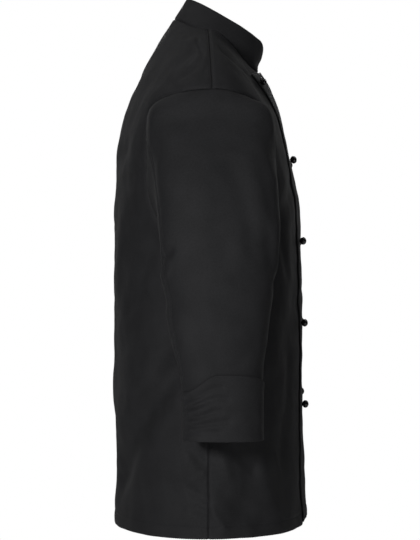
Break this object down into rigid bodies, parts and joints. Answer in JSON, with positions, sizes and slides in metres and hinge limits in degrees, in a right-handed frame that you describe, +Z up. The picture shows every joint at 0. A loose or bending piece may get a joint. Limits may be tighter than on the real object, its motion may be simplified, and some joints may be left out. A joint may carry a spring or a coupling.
{
  "type": "chef jacket",
  "caption": "Double-breasted, long-sleeved chef jacket with a short stand collar, ball buttons and turned-back cuffs, filled out as when worn.",
  "frame": {"origin": "between the two points where the collar seam crosses the shoulder seams, on the jacket's middle plane", "axes": "+Z up as worn, -Y towards the front, +X towards the wearer's left"},
  "size_m": [0.6726, 0.298, 0.8029],
  "materials": {
    "cloth": "matt black twill",
    "button": "polished black"
  },
  "bodies": {
    "root": {"back": "cloth", "front_right": "cloth", "front_left": "cloth", "collar": "cloth", "top_sleeve_right": "cloth", "top_sleeve_left": "cloth", "under_sleeve_right": "cloth", "under_sleeve_left": "cloth", "cuff_right": "cloth", "cuff_left": "cloth", "button_right_1": "button", "button_right_2": "button", "button_right_3": "button", "button_right_4": "button", "button_right_5": "button", "button_left_1": "button", "button_left_2": "button", "button_left_3": "button", "button_left_4": "button", "button_left_5": "button"}
  },
  "joints": []
}
